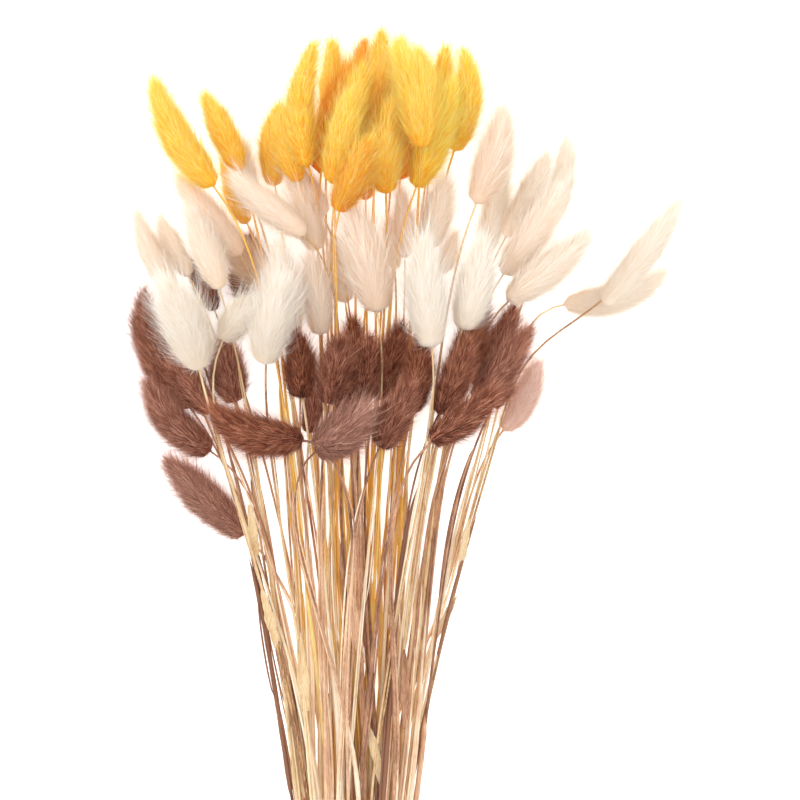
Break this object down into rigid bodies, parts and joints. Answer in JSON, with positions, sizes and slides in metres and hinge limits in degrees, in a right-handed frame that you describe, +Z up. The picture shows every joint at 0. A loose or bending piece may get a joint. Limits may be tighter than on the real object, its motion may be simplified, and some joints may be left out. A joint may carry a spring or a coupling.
{
  "type": "dried bunny tail grass bunch",
  "caption": "Bunch of dried bunny tail grass lying down: thin straw stems held by a twine tie, fanning out to soft, bristly egg-shaped heads in yellow, cream and brown.",
  "frame": {"origin": "middle of the bunch's bounding box, on the surface that it lies on", "axes": "+Y along the stems from the cut ends to the heads, +Z up from the surface, +X to the right when the bunch is seen from above with its heads away from the viewer"},
  "size_m": [0.2486, 0.4726, 0.0861],
  "materials": {
    "yellow_grass": "dry, soft, matte bristles dyed golden yellow, on ochre straw",
    "cream_grass": "dry, soft, matte cream bristles, on pale straw",
    "brown_grass": "dry, soft, matte bristles dyed reddish brown, on brown straw",
    "twine": "rough, matte natural twine"
  },
  "bodies": {
    "root": {"brown_pair_03": "brown_grass", "brown_pair_06": "brown_grass", "brown_pair_07": "brown_grass", "brown_pair_10": "brown_grass", "brown_pair_15": "brown_grass", "brown_pair_17": "brown_grass", "brown_pair_21": "brown_grass", "brown_stalk_01": "brown_grass", "brown_stalk_02": "brown_grass", "brown_stalk_04": "brown_grass", "brown_stalk_05": "brown_grass", "brown_stalk_08": "brown_grass", "brown_stalk_09": "brown_grass", "brown_stalk_11": "brown_grass", "brown_stalk_12": "brown_grass", "brown_stalk_13": "brown_grass", "brown_stalk_14": "brown_grass", "brown_stalk_16": "brown_grass", "brown_stalk_18": "brown_grass", "brown_stalk_19": "brown_grass", "brown_stalk_20": "brown_grass", "cream_pair_03": "cream_grass", "cream_pair_04": "cream_grass", "cream_pair_05": "cream_grass", "cream_pair_07": "cream_grass", "cream_pair_09": "cream_grass", "cream_pair_10": "cream_grass", "cream_pair_14": "cream_grass", "cream_pair_17": "cream_grass", "cream_stalk_01": "cream_grass", "cream_stalk_02": "cream_grass", "cream_stalk_06": "cream_grass", "cream_stalk_08": "cream_grass", "cream_stalk_11": "cream_grass", "cream_stalk_12": "cream_grass", "cream_stalk_13": "cream_grass", "cream_stalk_15": "cream_grass", "cream_stalk_16": "cream_grass", "cream_stalk_18": "cream_grass", "cream_stalk_19": "cream_grass", "cream_stalk_20": "cream_grass", "cream_stalk_21": "cream_grass", "cream_stalk_22": "cream_grass", "twine_tie": "twine", "yellow_pair_05": "yellow_grass", "yellow_pair_07": "yellow_grass", "yellow_pair_08": "yellow_grass", "yellow_pair_09": "yellow_grass", "yellow_pair_12": "yellow_grass", "yellow_pair_14": "yellow_grass", "yellow_pair_16": "yellow_grass", "yellow_stalk_01": "yellow_grass", "yellow_stalk_02": "yellow_grass", "yellow_stalk_03": "yellow_grass", "yellow_stalk_04": "yellow_grass", "yellow_stalk_06": "yellow_grass", "yellow_stalk_10": "yellow_grass", "yellow_stalk_11": "yellow_grass", "yellow_stalk_13": "yellow_grass", "yellow_stalk_15": "yellow_grass"}
  },
  "joints": []
}
